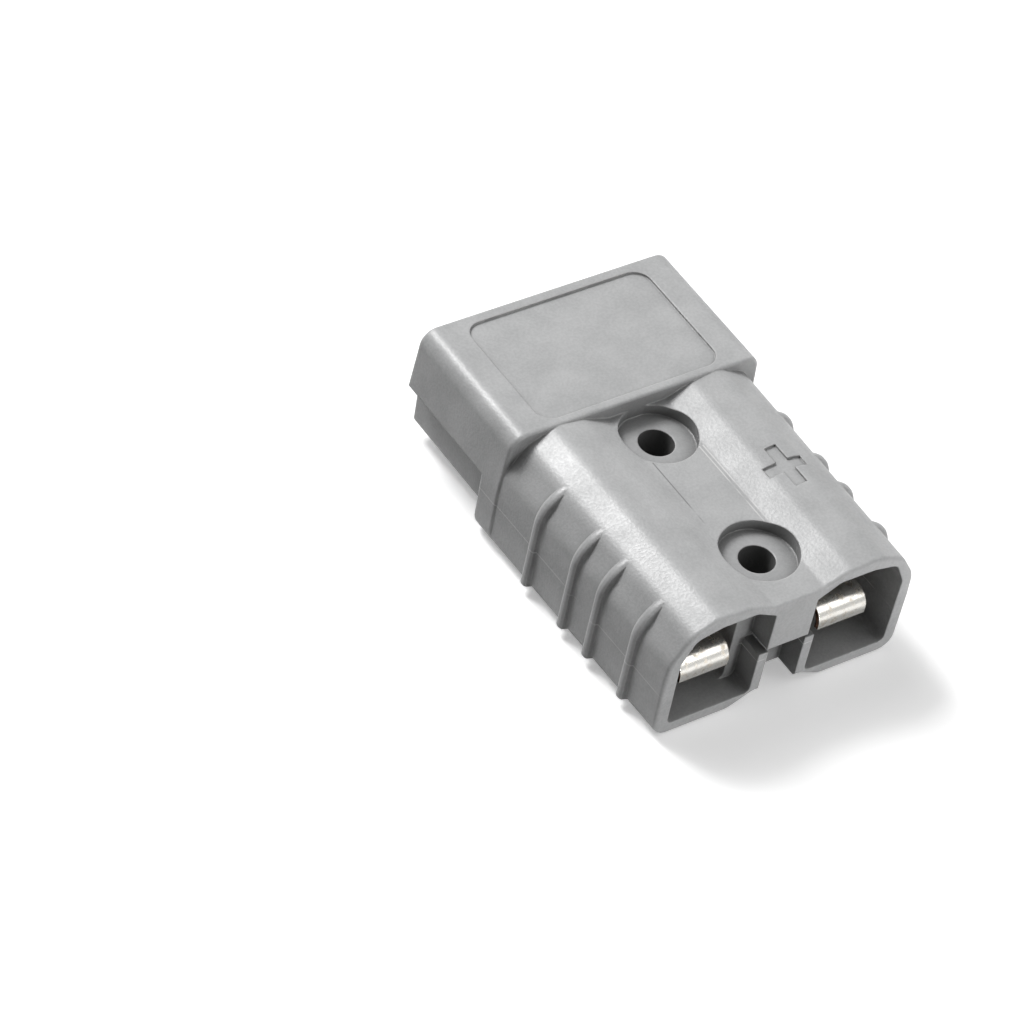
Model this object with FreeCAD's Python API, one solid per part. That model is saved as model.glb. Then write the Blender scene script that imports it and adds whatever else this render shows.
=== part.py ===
import FreeCAD, Part
import math
import os

# Two-pole genderless power connector, in millimetres.
# X runs across the poles, +Y towards the mating end, +Z towards the hood side.
# Sections are drawn about the mating mid-plane at Z 0, with the wire end at Y 0.
# The finished pieces are moved so that the origin is under the middle of the housing.

V = FreeCAD.Vector

# Housing outline
hood_width = 50.0
half_height = 12.2
body_length = 45.8
hood_length = 27.2
ridge_thickness = 5.2
hood_edge_height = 0.6
hood_draft_width = 0.8
ridge_draft_width = 0.4
hood_corner_radius = 3.0
ridge_corner_radius = 3.8
edge_round = 0.6

# Body section over the two cable channels, at the wire end
body_step = 1.1
body_flare_width = 0.8
crest_height = 11.8
valley_height = 9.6
slope_foot = 4.8
slope_foot_radius = 1.6
slope_top = 10.0
slope_top_drop = 0.3
slope_top_radius = 5.0
crest_place = 15.2
crest_rise = 0.2
crest_radius = 6.0
shoulder_inset = 3.3
shoulder_drop = 2.2
shoulder_radius = 4.5
side_lean_width = 0.2
side_top = 4.7
side_radius = 5.0
body_draft_width = 0.3
lower_corner_radius = 3.0
finger_side_crest_height = 11.9
finger_side_valley = 9.9
finger_side_slope_foot = 4.6
finger_side_slope_top = 9.0
finger_side_slope_radius = 3.5

# Grip ribs on both sides
grip_rib_places = (8.6, 18.2, 25.2, 35.4)
grip_rib_height = 0.65
grip_rib_root = 1.2
grip_rib_root_half_width = 1.3
grip_rib_shoulder_half_width = 0.75
grip_rib_crest_half_width = 0.3
grip_rib_crest_drop = 0.22
grip_rib_bend_drop = 8.6
grip_rib_bend_reach = 7.0
grip_rib_foot_margin = 1.6

# Cross bolts through the middle web
bolt_hole_diameter = 6.1
bolt_hole_spacing = 28.2
rear_bolt_hole_place = 11.2
counterbore_diameter = 13.2
counterbore_depth = 2.0

# Cable channels and wire mouths
wall = 2.3
web_half_width = 7.5
channel_length = 41.0
channel_corner_radius = 1.2
channel_bevel = 1.8
mouth_length = 4.4
mouth_inner_side = 5.4
key_block_half_width = 4.0
key_block_shoulder_drop = 2.1
key_block_bottom = -0.4
slit_height = 0.7
notch_half_width = 3.6

# Hood and fingers at the mating end
hood_wall = 2.1
mid_gap = 0.15
finger_height = 9.6
finger_half_gap = 5.5
finger_side_clearance = 0.3
finger_inner_wall = 1.2
finger_outer_wall = 2.3
finger_plate = 2.0
finger_corner_radius = 1.8
finger_edge_radius = 0.6
lip_height = 5.5
lip_thickness = 2.2
mating_floor_clearance = 0.2

# Web with its key rib between the fingers, and the divider that meets the mate's web
web_thickness = 2.3
web_setback = 0.5
divider_clearance = 0.25
divider_base_half_width = 4.6
divider_edge_half_width = 4.15
key_rib_width = 2.8
key_rib_crown_length = 6.5
key_rib_length = 10.0
key_rib_radius = 3.0
key_rib_bridge = 1.2
key_slot_clearance = 0.3
key_slot_length = 9.8

# Label recess in the hood
label_half_width = 17.6
label_front_margin = 2.0
label_rear_margin = 1.4
label_corner_radius = 3.0
label_depth = 0.4

# Polarity marks
mark_length = 9.0
mark_cross_length = 7.4
mark_width = 2.2
mark_depth = 0.4
mark_offset = 13.4
mark_place = 23.5
finger_mark_place = 63.5

# Contacts
strip_side_clearance = 2.1
tongue_drop = 0.2
tongue_thickness = 2.2
nose_setback = 2.5
nose_radius = 2.6
hook_depth = 6.0
hook_edge_radius = 0.6
barrel_overhang = 0.3
barrel_wall = 1.3
barrel_sink = 1.25
barrel_clearance = 1.0
barrel_bore_depth = 15.0
barrel_rear = 16.5
barrel_front = 33.0
swage_front = 39.5

# Leaf springs
spring_thickness = 0.9
spring_tail = (3.2, -4.3)
spring_roll_radius = 2.6
spring_land = -0.75
spring_land_end = 9.2
spring_foot_clearance = 0.1
spring_foot_start = 18.2
spring_foot_end = 33.0
spring_bend_radius = 6.0
spring_step_start = 39.5
spring_step_end = 51.0
spring_crown_start = 60.0
spring_crown_end = 63.8
spring_tip = (67.5, -4.4)
slot_side_clearance = 0.25
slot_top = 0.3

# Sizes that follow from the ones above
total_length = body_length + hood_length
body_width = hood_width - 2 * body_step
ridge_front = body_length + ridge_thickness
counterbore_floor = valley_height - counterbore_depth
splay_angle = math.degrees(math.atan(body_flare_width / body_length))
channel_floor = wall - finger_side_crest_height
finger_inside = finger_plate - finger_height
finger_outer_side = hood_width / 2 - hood_wall - finger_side_clearance
trough_inner_side = finger_half_gap + finger_inner_wall
trough_outer_side = finger_outer_side - finger_outer_wall
pole_offset = (trough_inner_side + trough_outer_side) / 2
strip_width = trough_outer_side - trough_inner_side - 2 * strip_side_clearance
barrel_diameter = strip_width + 2 * barrel_overhang
barrel_bore = barrel_diameter - 2 * barrel_wall
mating_floor = finger_height + mating_floor_clearance
divider_edge = mid_gap + web_thickness + divider_clearance
spring_foot = channel_floor + spring_foot_clearance + spring_thickness / 2
tongue_top = -mid_gap - tongue_drop / 2
tongue_bottom = tongue_top - tongue_thickness
barrel_height = tongue_top - barrel_sink + barrel_diameter / 2
channel_top = barrel_height + barrel_diameter / 2 + barrel_clearance
key_block_shoulder = channel_top - key_block_shoulder_drop
spring_on_finger = finger_inside + spring_thickness / 2
spring_on_tongue = tongue_bottom - spring_thickness / 2
past = 1.0


def tangent_arc(before, corner, after, radius):
    """Start, middle and end of the arc that rounds one corner."""
    to_before = (before - corner).normalize()
    to_after = (after - corner).normalize()
    half_angle = to_before.getAngle(to_after) / 2
    towards_centre = (to_before + to_after).normalize()
    start = corner + to_before * (radius / math.tan(half_angle))
    end = corner + to_after * (radius / math.tan(half_angle))
    middle = corner + towards_centre * (radius / math.sin(half_angle) - radius)
    return start, middle, end


def rounded_wire(corners):
    """Closed wire through (point, radius) corners, with each corner rounded."""
    pieces = []
    for index, (point, radius) in enumerate(corners):
        before = corners[index - 1][0]
        after = corners[(index + 1) % len(corners)][0]
        if radius > 0:
            start, middle, end = tangent_arc(before, point, after, radius)
            pieces.append((start, end, Part.Arc(start, middle, end).toShape()))
        else:
            pieces.append((point, point, None))
    edges = []
    for index, (start, end, arc) in enumerate(pieces):
        following = pieces[(index + 1) % len(pieces)][0]
        if arc:
            edges.append(arc)
        edges.append(Part.LineSegment(end, following).toShape())
    return Part.Wire(edges)


def section(corners, place):
    """Wire of (x, z, radius) corners across the connector at one place along Y."""
    return rounded_wire([(V(x, place, z), radius) for x, z, radius in corners])


def prism(corners, start, end):
    """Solid with one cross-section from start to end along Y."""
    return Part.Face(section(corners, start)).extrude(V(0, end - start, 0))


def across(corners, half_width, middle=0.0):
    """Solid of (y, z, radius) corners, spread to both sides of a middle along X."""
    wire = rounded_wire([(V(middle - half_width, y, z), radius) for y, z, radius in corners])
    return Part.Face(wire).extrude(V(2 * half_width, 0, 0))


def block(x_range, y_range, z_range):
    """Box over three (low, high) ranges."""
    low, high = [V(*ends) for ends in zip(x_range, y_range, z_range)]
    return Part.makeBox(*(high - low), low)


def upright_cylinder(diameter, place, z_range):
    """Cylinder along Z on the middle line, at one place along Y."""
    low, high = z_range
    return Part.makeCylinder(diameter / 2, high - low, V(0, place, low))


def with_mirror_image(right_half):
    """Outline of (x, z, radius) corners on +X, closed by their mirror images."""
    return right_half + [(-x, z, radius) for x, z, radius in reversed(right_half)]


def on_other_pole(shape):
    """Mirror image of a shape about the middle plane between the poles."""
    return shape.mirror(V(0, 0, 0), V(1, 0, 0))


def body_half():
    """Half of the body on +X: a bulge over its channel, splayed outwards towards the hood."""
    side = body_width / 2
    half = prism([
        (-past, valley_height, 0),
        (slope_foot, valley_height, slope_foot_radius),
        (slope_top, crest_height - slope_top_drop, slope_top_radius),
        (crest_place, crest_height + crest_rise, crest_radius),
        (side - shoulder_inset, crest_height - shoulder_drop, shoulder_radius),
        (side - side_lean_width, side_top, side_radius),
        (side, 0, 0),
        (side - body_draft_width, -finger_side_crest_height, lower_corner_radius),
        (finger_side_slope_top, -finger_side_crest_height, finger_side_slope_radius),
        (finger_side_slope_foot, -finger_side_valley, finger_side_slope_radius),
        (-past, -finger_side_valley, 0),
    ], -past, body_length + 2 * past)
    half.rotate(V(0, 0, 0), V(0, 0, 1), -splay_angle)
    return half.common(block((-hood_width, hood_width), (0, body_length + past), (-hood_width, hood_width)))


def body():
    """Solid body of two bulges with a valley between, its wire end rounded."""
    solid = body_half().fuse(on_other_pole(body_half())).removeSplitter()
    rim = [edge for edge in solid.Edges if edge.BoundBox.YMax < edge_round]
    return solid.makeFillet(edge_round, rim)


def channel_arch(inner_side):
    """Section of one cable channel, one wall inside the body, from its floor over its top."""
    side = body_width / 2 - wall
    shoulder = side - shoulder_inset + wall / 2
    return [
        (inner_side, channel_floor, channel_corner_radius),
        (side - body_draft_width, channel_floor, channel_corner_radius),
        (side, side_top - wall / 4, side_radius - wall),
        (shoulder, channel_top - shoulder_drop + wall / 2, shoulder_radius - wall),
        (crest_place - wall / 4, channel_top, crest_radius - wall),
    ]


def channel():
    """Cable channel of the +X pole: a wide mouth, then a narrower tunnel to the partition."""
    tunnel = channel_arch(web_half_width) + [
        (web_half_width + channel_bevel, channel_top, channel_corner_radius),
        (web_half_width, channel_top - channel_bevel, channel_corner_radius),
    ]
    slit_bottom = key_block_bottom - slit_height
    mouth = channel_arch(mouth_inner_side) + [
        (2 * key_block_half_width, channel_top, 2 * channel_corner_radius),
        (key_block_half_width, key_block_shoulder, channel_corner_radius / 2),
        (key_block_half_width, slit_bottom, 0),
        (mouth_inner_side, slit_bottom, 0),
    ]
    return prism(tunnel, 0, channel_length).fuse(prism(mouth, -past, mouth_length))


def contact_slot():
    """Slot through the partition for the contact of the +X pole and its spring."""
    half_width = strip_width / 2 + slot_side_clearance
    x_range = (pole_offset - half_width, pole_offset + half_width)
    return block(x_range, (channel_length - past, ridge_front + past), (finger_inside, slot_top))


def grip_rib(place):
    """Crowned rib on the +X side of the body, bent over at the top until it sinks in."""
    body_side = body_width / 2 + body_flare_width * place / body_length
    crest = body_side + grip_rib_height
    bend = crest_height - grip_rib_bend_drop
    foot = grip_rib_foot_margin - finger_side_crest_height
    half_profile = [
        (body_side - grip_rib_root, grip_rib_root_half_width),
        (crest - grip_rib_crest_drop, grip_rib_shoulder_half_width),
        (crest, grip_rib_crest_half_width),
    ]
    profile = half_profile + [(x, -y) for x, y in reversed(half_profile)]
    points = [V(x, place + y, bend) for x, y in profile]
    face = Part.Face(Part.makePolygon(points + points[:1]))
    bend_centre = V(crest - grip_rib_bend_reach, place, bend)
    return face.extrude(V(0, 0, foot - bend)).fuse(face.revolve(bend_centre, V(0, -1, 0), 90))


def rounded_band(outline, start, end):
    """Prism whose outer edges on both end faces are rounded."""
    solid = prism(outline, start, end)
    rims = [edge for edge in solid.Edges if is_end_rim(edge)]
    return solid.makeFillet(edge_round, rims)


def is_end_rim(edge):
    """True for an edge across the connector that doesn't lie on the mid-plane."""
    box = edge.BoundBox
    off_mid_plane = max(abs(box.ZMin), abs(box.ZMax)) > past
    return box.YLength < past and off_mid_plane


def hood_and_ridge():
    """Solid hood above the mid-plane and stop ridge below it."""
    side = hood_width / 2
    hood = with_mirror_image([
        (side - hood_draft_width, half_height, hood_corner_radius),
        (side, hood_edge_height, 0),
    ])
    ridge = with_mirror_image([
        (side, hood_edge_height, 0),
        (side - ridge_draft_width, -half_height, ridge_corner_radius),
    ])
    return rounded_band(hood, body_length, total_length).fuse(
        rounded_band(ridge, body_length, ridge_front))


def mating_cavity():
    """Hollow of the hood that takes the fingers of the mate."""
    side = hood_width / 2 - hood_wall
    outline = with_mirror_image([
        (side - hood_draft_width / 2, mating_floor, channel_corner_radius),
        (side, -past, 0),
    ])
    return prism(outline, ridge_front, total_length + past)


def divider():
    """Tapered block on the hood floor, slotted at the front for the mate's key rib."""
    blade = prism(with_mirror_image([
        (divider_base_half_width, mating_floor + past, 0),
        (divider_edge_half_width, divider_edge, 0),
    ]), ridge_front - past, total_length)
    slot_side = key_rib_width / 2 + key_slot_clearance
    slot = block((-slot_side, slot_side), (total_length - key_slot_length, total_length + past),
                 (0, mating_floor))
    return blade.cut(slot)


def finger():
    """Finger of the +X pole: a trough behind a low lip, open towards the mate."""
    outer = prism([
        (finger_half_gap, -mid_gap, 0),
        (finger_half_gap, -finger_height, finger_edge_radius),
        (finger_outer_side - hood_draft_width / 2, -finger_height, finger_corner_radius),
        (finger_outer_side, -mid_gap, 0),
    ], ridge_front - past, total_length)
    trough = prism([
        (trough_inner_side, past, 0),
        (trough_inner_side, finger_inside, finger_edge_radius),
        (trough_outer_side, finger_inside, finger_edge_radius),
        (trough_outer_side, past, 0),
    ], ridge_front, total_length - lip_thickness)
    over_lip = block((trough_inner_side, trough_outer_side),
                     (total_length - lip_thickness - past, total_length + past),
                     (lip_height - finger_height, past))
    return outer.cut([trough, over_lip])


def finger_web():
    """Web that joins the fingers, with the key rib that guides the mate's divider."""
    reach = finger_half_gap + finger_inner_wall / 2
    web_bottom = -mid_gap - web_thickness
    web = block((-reach, reach), (ridge_front - past, total_length - web_setback),
                (web_bottom, -mid_gap))
    bridge = block((-reach, reach), (ridge_front - past, ridge_front + key_rib_bridge),
                   (-finger_height, -mid_gap))
    rib = across([
        (ridge_front, web_bottom + past, 0),
        (ridge_front, -finger_height, 0),
        (ridge_front + key_rib_crown_length, -finger_height, key_rib_radius),
        (ridge_front + key_rib_length, web_bottom, 0),
        (ridge_front + key_rib_length, web_bottom + past, 0),
    ], key_rib_width / 2)
    return web.fuse([bridge, rib])


def bolt_holes():
    """Two through holes with wide counterbores that stop at the hood and the ridge."""
    cuts = []
    for place in (rear_bolt_hole_place, rear_bolt_hole_place + bolt_hole_spacing):
        cuts.append(upright_cylinder(bolt_hole_diameter, place, (-half_height, half_height)))
        for low, high in ((counterbore_floor, half_height + past),
                          (-half_height - past, -counterbore_floor)):
            cuts.append(upright_cylinder(counterbore_diameter, place, (low, high)))
    hood_side = block((-hood_width, hood_width), (body_length, total_length),
                      (counterbore_floor - past, half_height + 2 * past))
    ridge_side = block((-hood_width, hood_width), (body_length, total_length),
                       (-half_height - 2 * past, past - counterbore_floor))
    return cuts[0].fuse(cuts[1:]).cut([hood_side, ridge_side])


def label_recess():
    """Shallow rounded recess in the top of the hood."""
    rear = body_length + label_rear_margin
    front = total_length - label_front_margin
    floor = half_height - label_depth
    ends = [(-label_half_width, rear), (label_half_width, rear),
            (label_half_width, front), (-label_half_width, front)]
    wire = rounded_wire([(V(x, y, floor), label_corner_radius) for x, y in ends])
    return Part.Face(wire).extrude(V(0, 0, past))


def bar(middle, x_length, y_length, z_range):
    """Upright bar of a mark about a middle (x, y)."""
    x, y = middle
    return block((x - x_length / 2, x + x_length / 2), (y - y_length / 2, y + y_length / 2), z_range)


def minus(middle, z_range):
    """Upright minus sign about a middle (x, y)."""
    return bar(middle, mark_cross_length, mark_width, z_range)


def plus(middle, z_range):
    """Upright plus sign about a middle (x, y)."""
    return minus(middle, z_range).fuse(bar(middle, mark_width, mark_length, z_range))


def polarity_marks(solid_body):
    """Sunk plus and minus marks: two on the body, which follow its surface, and two on the fingers."""
    depth = V(0, 0, mark_depth)
    upper_range = (0, crest_height + past)
    lower_range = (-finger_side_crest_height - past, 0)
    finger_range = (-finger_height - past, mark_depth - finger_height)
    return [
        plus((mark_offset, mark_place), upper_range).cut(solid_body.translated(-depth)),
        minus((-mark_offset, mark_place), lower_range).cut(solid_body.translated(depth)),
        plus((-pole_offset, finger_mark_place), finger_range),
        minus((pole_offset, finger_mark_place), finger_range),
    ]


def make_housing():
    """One moulding: body, hood, ridge, fingers, web and divider."""
    solid_body = body()
    ribs = [grip_rib(place) for place in grip_rib_places]
    housing = solid_body.fuse([hood_and_ridge()] + ribs + [on_other_pole(rib) for rib in ribs])
    slit = block((-mouth_inner_side, mouth_inner_side), (-past, mouth_length),
                 (key_block_bottom - slit_height, key_block_bottom))
    notch = block((-notch_half_width, notch_half_width), (-past, mouth_length),
                  (-half_height - past, key_block_bottom - slit_height))
    one_side = [channel(), contact_slot()]
    housing = housing.cut([mating_cavity(), bolt_holes(), label_recess(), slit, notch] + one_side
                          + [on_other_pole(cut) for cut in one_side])
    housing = housing.fuse([divider(), finger(), on_other_pole(finger()), finger_web()])
    slots = [contact_slot(), on_other_pole(contact_slot())]
    return housing.cut(slots + polarity_marks(solid_body)).removeSplitter()


def make_contact():
    """Contact of the +X pole: hooked tongue with a crimp barrel swaged down on to it."""
    nose = total_length - nose_setback
    tongue = across([
        (barrel_front, tongue_top, 0),
        (nose, tongue_top, nose_radius),
        (nose, tongue_top - hook_depth, hook_edge_radius),
        (nose - tongue_thickness, tongue_top - hook_depth, hook_edge_radius),
        (nose - tongue_thickness, tongue_bottom, nose_radius - tongue_thickness),
        (barrel_front, tongue_bottom, 0),
    ], strip_width / 2, pole_offset)
    radius = barrel_diameter / 2
    barrel_top = barrel_height + radius
    mouth = V(pole_offset, barrel_rear, barrel_height)
    barrel = Part.makeCylinder(radius, swage_front - barrel_rear, mouth, V(0, 1, 0))
    above_swage = across([
        (barrel_front, barrel_top, 0),
        (swage_front, tongue_top, 0),
        (swage_front + past, tongue_top, 0),
        (swage_front + past, barrel_top + past, 0),
        (barrel_front, barrel_top + past, 0),
    ], barrel_diameter, pole_offset)
    bore = Part.makeCylinder(barrel_bore / 2, barrel_bore_depth, mouth, V(0, 1, 0))
    return tongue.fuse(barrel.cut(above_swage)).cut(bore).removeSplitter()


def offset_corner(before, here, after, distance):
    """One (y, z, radius) corner of a path, moved sideways with its bend radius to match."""
    point = V(0, here[0], here[1])
    arriving = (point - V(0, before[0], before[1])).normalize()
    leaving = (V(0, after[0], after[1]) - point).normalize()
    along = (arriving + leaving).normalize()
    stretch = distance / along.dot(leaving)
    side_of_turn = math.copysign(1, arriving.cross(leaving).x)
    radius = here[2] - side_of_turn * distance
    return here[0] - along.z * stretch, here[1] + along.y * stretch, radius


def offset_path(path, distance):
    """Path of (y, z, radius) corners moved sideways by a distance, with square ends."""
    corners = []
    for index, here in enumerate(path):
        if 0 < index < len(path) - 1:
            corners.append(offset_corner(path[index - 1], here, path[index + 1], distance))
        else:
            other = path[1] if index == 0 else path[-2]
            along = V(0, other[0] - here[0], other[1] - here[1]).normalize() * distance
            sign = 1 if index == 0 else -1
            corners.append((here[0] - sign * along.z, here[1] + sign * along.y, 0))
    return corners


def make_spring():
    """Leaf spring of the +X pole, bent from one strip."""
    tail_y, tail_z = spring_tail
    tip_y, tip_z = spring_tip
    path = [
        (tail_y, tail_z, 0),
        (tail_y, spring_land, spring_roll_radius),
        (spring_land_end, spring_land, spring_bend_radius),
        (spring_foot_start, spring_foot, spring_bend_radius),
        (spring_foot_end, spring_foot, spring_bend_radius),
        (spring_step_start, spring_on_finger, spring_bend_radius),
        (spring_step_end, spring_on_finger, spring_bend_radius),
        (spring_crown_start, spring_on_tongue, spring_bend_radius),
        (spring_crown_end, spring_on_tongue, spring_bend_radius),
        (tip_y, tip_z, 0),
    ]
    upper = offset_path(path, spring_thickness / 2)
    lower = offset_path(path, -spring_thickness / 2)
    return across(upper + lower[::-1], strip_width / 2, pole_offset)


contact = make_contact()
spring = make_spring()
pieces = {
    "housing": make_housing(),
    "contact_right": contact,
    "contact_left": on_other_pole(contact),
    "spring_right": spring,
    "spring_left": on_other_pole(spring),
}
os.makedirs("parts", exist_ok=True)
for name, shape in pieces.items():
    shape.translate(V(0, -total_length / 2, half_height))
    shape.exportStep("parts/" + name + ".step")
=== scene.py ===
import math
import bmesh
import bpy
from mathutils import Matrix, Vector

# Two-pole genderless power connector, in metres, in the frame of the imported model.

MM = 0.001

# Camera, from the photograph's perspective
CAMERA_PLACE = Vector((-0.38169, -0.38867, 0.53121))
CAMERA_AIM = Vector((-0.02482, 0.00531, 0.0122))
CAMERA_ROLL = math.radians(12.76)
CAMERA_LENS = 165.0
SENSOR_WIDTH = 36.0

# Square lamps that point at the part: name, place, side length and watts
LAMPS = [
    ("key", Vector((-0.24, 0.70, 0.95)), 0.36, 10.0),
    ("halo", Vector((-0.30, 0.88, 1.20)), 1.1, 9.0),
    ("fill", Vector((0.62, -0.55, 1.00)), 1.2, 5.0),
    ("low_front", Vector((0.18, -1.20, 0.14)), 0.25, 5.0),
]

# Colours, linear
PLASTIC_GREY = (0.370, 0.373, 0.375, 1)
PLASTIC_PALE = (0.475, 0.478, 0.480, 1)
PLASTIC_WEAR_AND_HIGHLIGHT = (0.60, 0.60, 0.595, 1)
PLASTIC_CREASE_SHADE = (0.22, 0.22, 0.22, 1)
# Painted shade for holes, pockets and inner corners
PLASTIC_PAINTED_SHADE = (0.13, 0.13, 0.13, 1)
SILVER = (0.93, 0.91, 0.86, 1)
TARNISH = (0.62, 0.56, 0.47, 1)
BARE_COPPER = (0.30, 0.15, 0.09, 1)
COPPER_SHADOW = (0.08, 0.05, 0.04, 1)
FLOOR_WHITE = (0.93, 0.93, 0.93, 1)
FLOOR_SHADED = (0.12, 0.12, 0.12, 1)
FLOOR_GLOW = (0.34, 0.34, 0.34, 1)
NO_GLOW = (0, 0, 0, 1)
WORLD_DIM = (0.07, 0.07, 0.07, 1)
WORLD_REFLECTED = (0.50, 0.50, 0.50, 1)
WORLD_WHITE = (1, 1, 1, 1)

# Roughness of the dark and of the pale plastic, and of the clean and of the stained plating
PLASTIC_ROUGHNESS = (0.41, 0.30)
CONTACT_ROUGHNESS = (0.28, 0.42)
SPRING_ROUGHNESS = (0.22, 0.38)

# Plastic: share of the flow clouds in its mottling, height of its grain and how far its edges are paled,
# partly as scuffs and partly as painted highlight
CLOUD_SHARE = 0.55
GRAIN_HEIGHT = 0.55
EDGE_PALING_RANGE = (0.25, 0.75)

# Radius that the shading gives to edges, and how far a normal has turned at a full edge
PLASTIC_EDGE_RADIUS = 0.45 * MM
METAL_EDGE_RADIUS = 0.2 * MM
EDGE_TURN_RANGE = (1.0, 0.75)

# Sheared edges of the strip face sideways by more than this
SHEARED_FACING = 0.9

# Parting line of the mould, below the mid-plane of the housing
SEAM_HEIGHT = 9.7 * MM
SEAM_HALF_WIDTH = 0.09 * MM

# Lines along the creases of the valley between the bolt holes: a line of painted shade and lines of
# painted highlight
SHADED_CREASE_PLACES = [-4.6 * MM]
CREASE_HIGHLIGHT_PLACES = [4.5 * MM, 5.2 * MM]
VALLEY_LINE_HALF_WIDTH = 0.12 * MM
VALLEY_LINE_Y_RANGE = (-20.3 * MM, -2.1 * MM)
VALLEY_HEIGHT = 21.0 * MM

# Distance over which walls close in on a surface, and its openness from no painted shade to full painted
# shade
RECESS_DEPTH = 14.0 * MM
RECESS_OPENNESS_RANGE = (0.95, 0.30)

FLOOR_SIZE = 3.0
FLOOR_DROP = 0.02 * MM
SHADED_X_RANGE = (-45 * MM, -5 * MM)

# Colour sockets of the Mix node, whose names aren't unique
MIX_FIRST_COLOUR = 6
MIX_SECOND_COLOUR = 7
MIX_RESULT_COLOUR = 2


def add_node(tree, kind, **settings):
    """New shader node with its plain settings."""
    node = tree.nodes.new(kind)
    for name, value in settings.items():
        setattr(node, name, value)
    return node


def set_inputs(node, **values):
    """Sets input sockets by name, with underscores for spaces."""
    for name, value in values.items():
        node.inputs[name.replace("_", " ")].default_value = value


def new_material(name):
    """Empty node material with a Principled shader, returned as (material, tree, shader)."""
    material = bpy.data.materials.new(name)
    material.use_nodes = True
    tree = material.node_tree
    return material, tree, tree.nodes["Principled BSDF"]


def new_group(name, inputs, outputs):
    """Empty shader node group with float or vector sockets, returned as (tree, source, target)."""
    tree = bpy.data.node_groups.new(name, "ShaderNodeTree")
    for direction, sockets in (("INPUT", inputs), ("OUTPUT", outputs)):
        for label, kind in sockets:
            tree.interface.new_socket(label, in_out=direction, socket_type="NodeSocket" + kind)
    return tree, tree.nodes.new("NodeGroupInput"), tree.nodes.new("NodeGroupOutput")


def noise_group():
    """Smooth noise on Object coordinates, stretched from 0 to 1 between two levels."""
    tree, source, target = new_group(
        "object_noise",
        [("Scale", "Float"), ("Detail", "Float"), ("Low", "Float"), ("High", "Float")],
        [("Amount", "Float")])
    place = add_node(tree, "ShaderNodeTexCoord")
    noise = add_node(tree, "ShaderNodeTexNoise")
    amount = add_node(tree, "ShaderNodeMapRange", interpolation_type="SMOOTHSTEP")
    tree.links.new(place.outputs["Object"], noise.inputs["Vector"])
    tree.links.new(source.outputs["Scale"], noise.inputs["Scale"])
    tree.links.new(source.outputs["Detail"], noise.inputs["Detail"])
    tree.links.new(source.outputs["Low"], amount.inputs["From Min"])
    tree.links.new(source.outputs["High"], amount.inputs["From Max"])
    tree.links.new(noise.outputs["Fac"], amount.inputs["Value"])
    tree.links.new(amount.outputs["Result"], target.inputs["Amount"])
    return tree


def rounded_edge_group():
    """Normals that round the edges off by a radius, and a mask of the outer edges."""
    tree, source, target = new_group(
        "rounded_edges", [("Radius", "Float")], [("Normal", "Vector"), ("Edge", "Float")])
    bevel = add_node(tree, "ShaderNodeBevel", samples=6)
    geometry = add_node(tree, "ShaderNodeNewGeometry")
    agree = add_node(tree, "ShaderNodeVectorMath", operation="DOT_PRODUCT")
    tree.links.new(source.outputs["Radius"], bevel.inputs["Radius"])
    tree.links.new(bevel.outputs["Normal"], agree.inputs[0])
    tree.links.new(geometry.outputs["Normal"], agree.inputs[1])
    tree.links.new(bevel.outputs["Normal"], target.inputs["Normal"])
    tree.links.new(between(tree, agree.outputs["Value"], EDGE_TURN_RANGE), target.inputs["Edge"])
    return tree


def place_group(tree, group, **values):
    """Outputs of a group placed in a material with its own values."""
    node = add_node(tree, "ShaderNodeGroup", node_tree=group)
    set_inputs(node, **values)
    return node.outputs


def between(tree, value, limits, interpolation="LINEAR"):
    """Mask that runs from 0 at the first limit of a value to 1 at the second."""
    node = add_node(tree, "ShaderNodeMapRange", interpolation_type=interpolation)
    set_inputs(node, From_Min=limits[0], From_Max=limits[1])
    tree.links.new(value, node.inputs["Value"])
    return node.outputs["Result"]


def spread(tree, mask, limits):
    """Output that runs from the first number to the second as a mask runs from 0 to 1."""
    node = add_node(tree, "ShaderNodeMapRange")
    set_inputs(node, To_Min=limits[0], To_Max=limits[1])
    tree.links.new(mask, node.inputs["Value"])
    return node.outputs["Result"]


def mix_colours(tree, first, second, mask):
    """Colour output that runs from the first colour to the second."""
    mix = add_node(tree, "ShaderNodeMix", data_type="RGBA")
    for index, colour in ((MIX_FIRST_COLOUR, first), (MIX_SECOND_COLOUR, second)):
        if isinstance(colour, tuple):
            mix.inputs[index].default_value = colour
        else:
            tree.links.new(colour, mix.inputs[index])
    tree.links.new(mask, mix.inputs["Factor"])
    return mix.outputs[MIX_RESULT_COLOUR]


def calculate(tree, operation, *values):
    """Output of a Math node on sockets and numbers."""
    node = add_node(tree, "ShaderNodeMath", operation=operation)
    for socket, value in zip(node.inputs, values):
        if isinstance(value, (int, float)):
            socket.default_value = value
        else:
            tree.links.new(value, socket)
    return node.outputs["Value"]


def combine(tree, operation, masks):
    """Output of one operation carried on over several masks."""
    result = masks[0]
    for mask in masks[1:]:
        result = calculate(tree, operation, result, mask)
    return result


def axes_of(tree, output):
    """X, Y and Z sockets of one output of the Texture Coordinate node."""
    place = add_node(tree, "ShaderNodeTexCoord")
    axes = add_node(tree, "ShaderNodeSeparateXYZ")
    tree.links.new(place.outputs[output], axes.inputs["Vector"])
    return axes.outputs["X"], axes.outputs["Y"], axes.outputs["Z"]


def line_mask(tree, position, middle, half_width):
    """Mask of a line where a coordinate is near its middle value."""
    distance = calculate(tree, "ABSOLUTE", calculate(tree, "SUBTRACT", position, middle))
    return calculate(tree, "LESS_THAN", distance, half_width)


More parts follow.
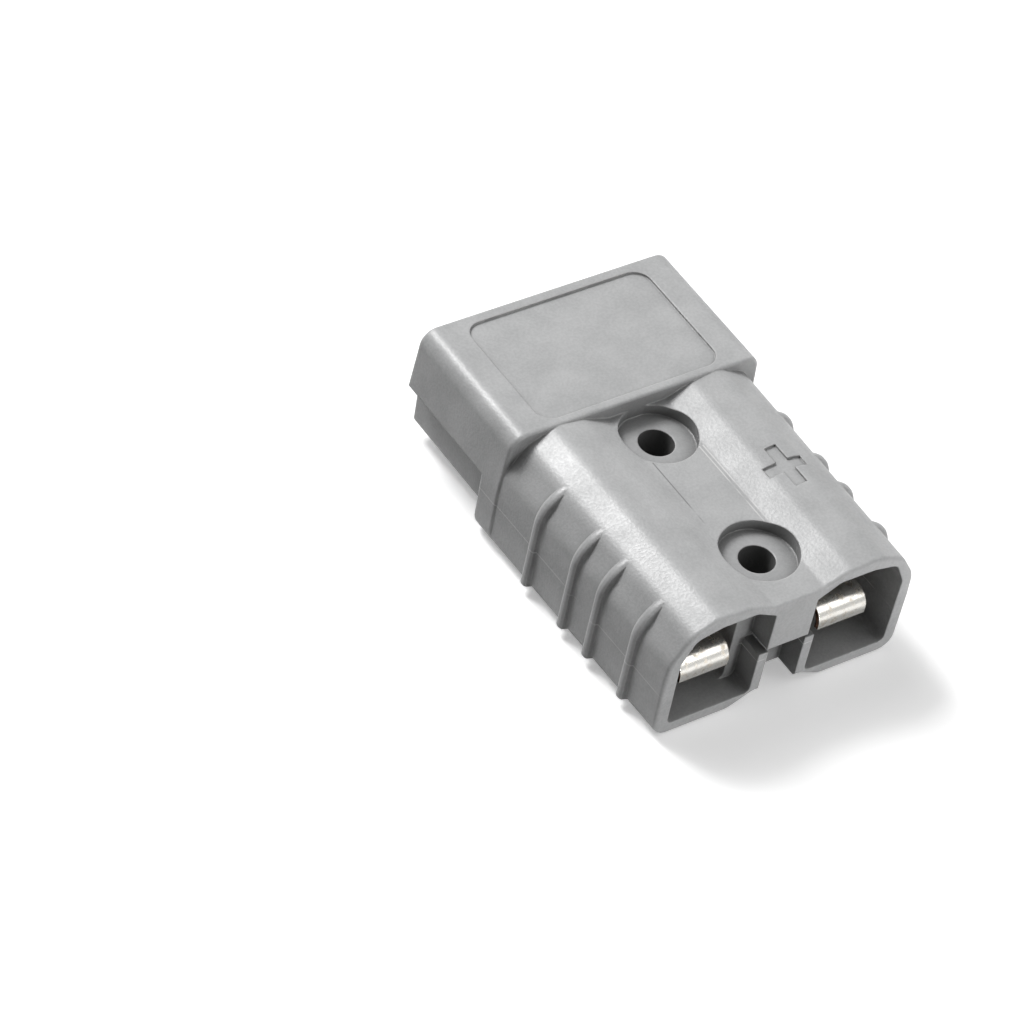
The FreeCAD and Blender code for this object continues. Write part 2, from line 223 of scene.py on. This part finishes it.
def seam_mask(tree, breaks):
    """Broken mask of the parting line along the sides of the housing."""
    _, _, z = axes_of(tree, "Object")
    return calculate(tree, "MULTIPLY", line_mask(tree, z, SEAM_HEIGHT, SEAM_HALF_WIDTH), breaks)


def valley_line_mask(tree, places, breaks):
    """Broken mask of short lines along the valley, at the given places on x."""
    x, y, z = axes_of(tree, "Object")
    low, high = VALLEY_LINE_Y_RANGE
    lines = [line_mask(tree, x, place, VALLEY_LINE_HALF_WIDTH) for place in places]
    beside_holes = line_mask(tree, y, (low + high) / 2, (high - low) / 2)
    on_top = calculate(tree, "GREATER_THAN", z, VALLEY_HEIGHT)
    return combine(tree, "MULTIPLY", [combine(tree, "MAXIMUM", lines), beside_holes, on_top, breaks])


def painted_recess_shade_mask(tree):
    """Mask of painted shade deep in holes, pockets and inner corners, from how closed in a surface is.
    """
    openness = add_node(tree, "ShaderNodeAmbientOcclusion", samples=8, only_local=True)
    set_inputs(openness, Distance=RECESS_DEPTH)
    return between(tree, openness.outputs["AO"], RECESS_OPENNESS_RANGE)


def moulded_plastic(object_noise, rounded_edges):
    """Grey moulded plastic: flow mottling, fine grain, soft edges paled partly as scuffs and partly as
    painted highlight, the parting line, painted shade and painted highlight along the valley creases,
    and painted shade in its recesses.
    """
    material, tree, shader = new_material("moulded_grey_plastic")
    edges = place_group(tree, rounded_edges, Radius=PLASTIC_EDGE_RADIUS)
    clouds = place_group(tree, object_noise, Scale=160.0, Detail=6.0, Low=0.3, High=0.7)["Amount"]
    grain = place_group(tree, object_noise, Scale=2200.0, Detail=3.0, Low=0.3, High=0.7)["Amount"]
    breaks = place_group(tree, object_noise, Scale=110.0, Detail=2.0, Low=0.38, High=0.5)["Amount"]
    edge_paling_noise = place_group(tree, object_noise, Scale=420.0, Detail=4.0, Low=0.35, High=0.65)["Amount"]
    seam = seam_mask(tree, breaks)
    # Painted shade along the left crease of the valley, which the bump also dents
    shaded_crease = valley_line_mask(tree, SHADED_CREASE_PLACES, breaks)
    # Painted highlight lines along the right crease of the valley
    crease_highlights = valley_line_mask(tree, CREASE_HIGHLIGHT_PLACES, breaks)
    # Paler edges: partly scuffs, partly painted highlight
    worn_and_highlit_edges = calculate(tree, "MULTIPLY", edges["Edge"], spread(tree, edge_paling_noise, EDGE_PALING_RANGE))
    mottle = calculate(tree, "ADD", calculate(tree, "MULTIPLY", clouds, CLOUD_SHARE),
                       calculate(tree, "MULTIPLY", grain, 1 - CLOUD_SHARE))
    colour = mix_colours(tree, PLASTIC_GREY, PLASTIC_PALE, mottle)
    for layer, mask in (
        # Painted shade darkens holes, pockets and inner corners
        (PLASTIC_PAINTED_SHADE, painted_recess_shade_mask(tree)),
        (PLASTIC_CREASE_SHADE, shaded_crease),
        (PLASTIC_WEAR_AND_HIGHLIGHT, combine(tree, "MAXIMUM", [worn_and_highlit_edges, seam, crease_highlights])),
    ):
        colour = mix_colours(tree, colour, layer, mask)
    relief = calculate(tree, "ADD", calculate(tree, "MULTIPLY", grain, GRAIN_HEIGHT),
                       calculate(tree, "SUBTRACT", seam, shaded_crease))
    bump = add_node(tree, "ShaderNodeBump")
    set_inputs(bump, Strength=0.25, Distance=0.1 * MM)
    tree.links.new(relief, bump.inputs["Height"])
    tree.links.new(edges["Normal"], bump.inputs["Normal"])
    tree.links.new(colour, shader.inputs["Base Color"])
    tree.links.new(spread(tree, mottle, PLASTIC_ROUGHNESS), shader.inputs["Roughness"])
    tree.links.new(bump.outputs["Normal"], shader.inputs["Normal"])
    set_inputs(shader, IOR=1.5)
    return material


def plated_metal(name, roughness, object_noise, rounded_edges):
    """Plated strip with soft stains, and bare copper with patches of painted shadow on its sheared
    edges.
    """
    material, tree, shader = new_material(name)
    edges = place_group(tree, rounded_edges, Radius=METAL_EDGE_RADIUS)
    stains = place_group(tree, object_noise, Scale=900.0, Detail=5.0, Low=0.48, High=0.72)["Amount"]
    patches = place_group(tree, object_noise, Scale=1400.0, Detail=3.0, Low=0.42, High=0.58)["Amount"]
    sideways, _, _ = axes_of(tree, "Normal")
    sheared = calculate(tree, "GREATER_THAN", calculate(tree, "ABSOLUTE", sideways), SHEARED_FACING)
    plated = mix_colours(tree, SILVER, TARNISH, stains)
    # Sheared edges: bare copper mixed with patches of painted shadow
    bare = mix_colours(tree, COPPER_SHADOW, BARE_COPPER, patches)
    tree.links.new(mix_colours(tree, plated, bare, sheared), shader.inputs["Base Color"])
    tree.links.new(spread(tree, stains, roughness), shader.inputs["Roughness"])
    tree.links.new(edges["Normal"], shader.inputs["Normal"])
    set_inputs(shader, Metallic=1.0)
    return material


def white_floor():
    """White that throws little light back on the left side of the part and glows for the camera."""
    material, tree, shader = new_material("floor_white")
    rays = add_node(tree, "ShaderNodeLightPath")
    x, _, _ = axes_of(tree, "Object")
    bounce = mix_colours(tree, FLOOR_SHADED, FLOOR_WHITE, between(tree, x, SHADED_X_RANGE, "SMOOTHSTEP"))
    colour = mix_colours(tree, FLOOR_WHITE, bounce, rays.outputs["Is Diffuse Ray"])
    glow = mix_colours(tree, NO_GLOW, FLOOR_GLOW, rays.outputs["Is Camera Ray"])
    tree.links.new(colour, shader.inputs["Base Color"])
    tree.links.new(glow, shader.inputs["Emission Color"])
    set_inputs(shader, Roughness=0.9, Emission_Strength=1.0)
    return material


def add_floor():
    """Plain pale floor just under the part."""
    mesh = bmesh.new()
    bmesh.ops.create_grid(mesh, x_segments=1, y_segments=1, size=FLOOR_SIZE / 2)
    data = bpy.data.meshes.new("floor")
    mesh.to_mesh(data)
    mesh.free()
    data.materials.append(white_floor())
    floor = bpy.data.objects.new("floor", data)
    floor.location.z = -FLOOR_DROP
    bpy.context.scene.collection.objects.link(floor)


def add_lamp(name, place, size, power):
    """Square area lamp that points at the part."""
    data = bpy.data.lights.new(name, "AREA")
    data.shape = "SQUARE"
    data.size = size
    data.energy = power
    lamp = bpy.data.objects.new(name, data)
    lamp.location = place
    lamp.rotation_euler = (-place).to_track_quat("-Z", "Y").to_euler()
    bpy.context.scene.collection.objects.link(lamp)


def light_world():
    """World that lights dimly, with a brighter look in reflections and white for the camera."""
    world = bpy.data.worlds.new("studio")
    world.use_nodes = True
    tree = world.node_tree
    rays = add_node(tree, "ShaderNodeLightPath")
    seen = mix_colours(tree, WORLD_DIM, WORLD_REFLECTED, rays.outputs["Is Glossy Ray"])
    colour = mix_colours(tree, seen, WORLD_WHITE, rays.outputs["Is Camera Ray"])
    tree.links.new(colour, tree.nodes["Background"].inputs["Color"])
    bpy.context.scene.world = world


def light_studio():
    """Dim surroundings and the lamps."""
    light_world()
    for lamp in LAMPS:
        add_lamp(*lamp)
    bpy.context.scene.view_settings.view_transform = "Standard"


def add_camera():
    """Camera at the photograph's viewing angle."""
    data = bpy.data.cameras.new("camera")
    data.lens = CAMERA_LENS
    data.sensor_width = SENSOR_WIDTH
    camera = bpy.data.objects.new("camera", data)
    turn = (CAMERA_AIM - CAMERA_PLACE).to_track_quat("-Z", "Y").to_matrix()
    roll = Matrix.Rotation(CAMERA_ROLL, 3, "Z")
    camera.matrix_world = Matrix.Translation(CAMERA_PLACE) @ (turn @ roll).to_4x4()
    bpy.context.scene.collection.objects.link(camera)
    bpy.context.scene.camera = camera


def paint(nodes, material):
    """Gives CAD nodes their finish."""
    for node in nodes:
        for slot in node.material_slots:
            slot.material = material


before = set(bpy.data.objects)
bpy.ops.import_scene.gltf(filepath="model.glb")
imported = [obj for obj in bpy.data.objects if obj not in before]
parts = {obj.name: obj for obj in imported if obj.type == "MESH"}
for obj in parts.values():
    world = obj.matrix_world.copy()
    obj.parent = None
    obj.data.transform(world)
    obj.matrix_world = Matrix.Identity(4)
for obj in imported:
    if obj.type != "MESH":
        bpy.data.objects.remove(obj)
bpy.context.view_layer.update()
groups = noise_group(), rounded_edge_group()
contact_plating = plated_metal("silver_plate", CONTACT_ROUGHNESS, *groups)
spring_plating = plated_metal("spring_plate", SPRING_ROUGHNESS, *groups)
paint([parts["housing"]], moulded_plastic(*groups))
paint([parts["contact_left"], parts["contact_right"]], contact_plating)
paint([parts["spring_left"], parts["spring_right"]], spring_plating)
add_floor()
light_studio()
add_camera()
